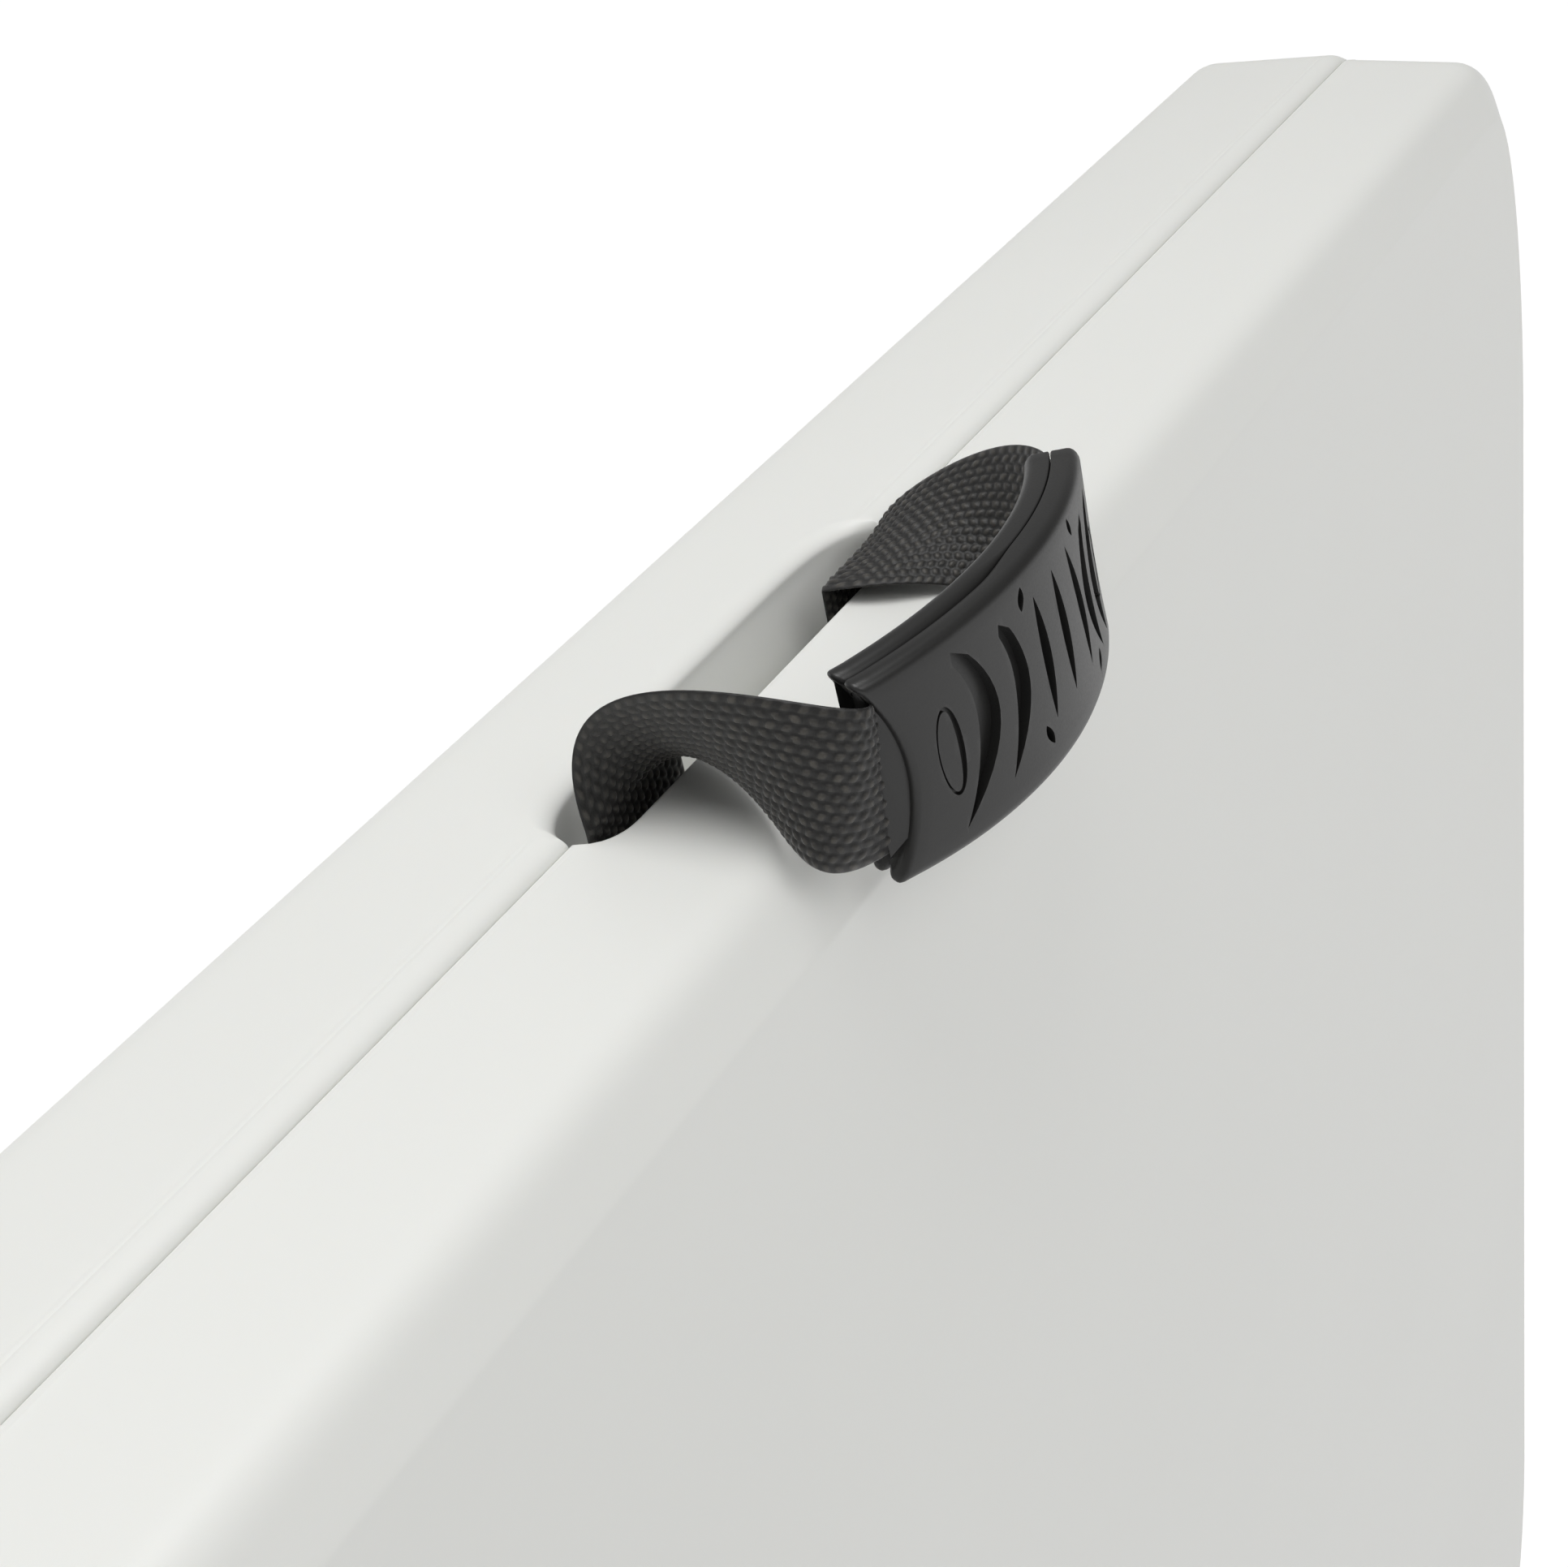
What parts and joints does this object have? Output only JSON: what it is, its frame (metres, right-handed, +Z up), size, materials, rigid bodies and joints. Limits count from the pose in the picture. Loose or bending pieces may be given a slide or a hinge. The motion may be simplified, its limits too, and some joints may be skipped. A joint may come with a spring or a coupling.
{
  "type": "fire blanket",
  "caption": "Folded fire blanket held in a white two-shell carry case that opens like a book, with a swinging webbing handle and snap latches.",
  "frame": {"origin": "middle of the box round the object, at the floor that its feet stand on", "axes": "+X along the case to its latched end, -Y out of the front shell that the handle hangs over, +Z up"},
  "size_m": [0.7216, 0.1073, 0.7082],
  "materials": {
    "white_shell": "white satin moulded plastic",
    "rubber": "black rubber",
    "steel": "zinc plated steel",
    "black_plastic": "black satin moulded plastic",
    "black_webbing": "black woven webbing",
    "glass_cloth": "woven glass cloth with a silicone coat",
    "red_webbing": "red woven tape"
  },
  "bodies": {
    "front_shell_body": {"front_shell": "white_shell", "foot_front_left": "rubber", "strap_foot_left": "black_webbing", "strap_pin_left": "steel", "retaining_band_left": "black_webbing", "band_anchor_upper_left": "steel", "band_anchor_lower_left": "steel", "band_buckle_left_socket": "black_plastic", "band_buckle_left_plug": "black_plastic", "pull_tape_left": "red_webbing", "foot_front_right": "rubber", "strap_foot_right": "black_webbing", "strap_pin_right": "steel", "retaining_band_right": "black_webbing", "band_anchor_upper_right": "steel", "band_anchor_lower_right": "steel", "band_buckle_right_socket": "black_plastic", "band_buckle_right_plug": "black_plastic", "pull_tape_right": "red_webbing", "fire_blanket": "glass_cloth", "hinge_leaf_front_upper": "steel", "hinge_pin_upper": "steel", "hinge_screw_front_upper_low": "steel", "hinge_screw_front_upper_high": "steel", "latch_base_upper": "black_plastic", "latch_pin_upper": "steel", "hinge_leaf_front_lower": "steel", "hinge_pin_lower": "steel", "hinge_screw_front_lower_low": "steel", "hinge_screw_front_lower_high": "steel", "latch_base_lower": "black_plastic", "latch_pin_lower": "steel"},
    "cover": {"rear_shell": "white_shell", "rim_seal": "rubber", "foot_rear_left": "rubber", "foot_rear_right": "rubber", "hinge_leaf_rear_upper": "steel", "hinge_screw_rear_upper_low": "steel", "hinge_screw_rear_upper_high": "steel", "latch_keeper_upper": "black_plastic", "hinge_leaf_rear_lower": "steel", "hinge_screw_rear_lower_low": "steel", "hinge_screw_rear_lower_high": "steel", "latch_keeper_lower": "black_plastic"},
    "handle": {"grip_outer": "black_plastic", "grip_inner": "black_plastic", "handle_strap": "black_webbing"},
    "latch_upper": {"latch_lever_upper": "black_plastic"},
    "latch_lower": {"latch_lever_lower": "black_plastic"}
  },
  "joints": [
    {"name": "cover_hinge", "type": "hinge", "parent": "front_shell_body", "child": "cover", "pos_m": [-0.356, 0.0067, 0.346], "axis": [0, 0, 1], "range_deg": [0, 165]},
    {"name": "handle_swing", "type": "hinge", "parent": "front_shell_body", "child": "handle", "pos_m": [0, 0.0032, 0.684], "axis": [-1, 0, 0], "range_deg": [0, 85]},
    {"name": "latch_upper_hinge", "type": "hinge", "parent": "front_shell_body", "child": "latch_upper", "pos_m": [0.3556, -0.0153, 0.511], "axis": [0, 0, -1], "range_deg": [0, 100]},
    {"name": "latch_lower_hinge", "type": "hinge", "parent": "front_shell_body", "child": "latch_lower", "pos_m": [0.3556, -0.0153, 0.181], "axis": [0, 0, -1], "range_deg": [0, 100]}
  ]
}
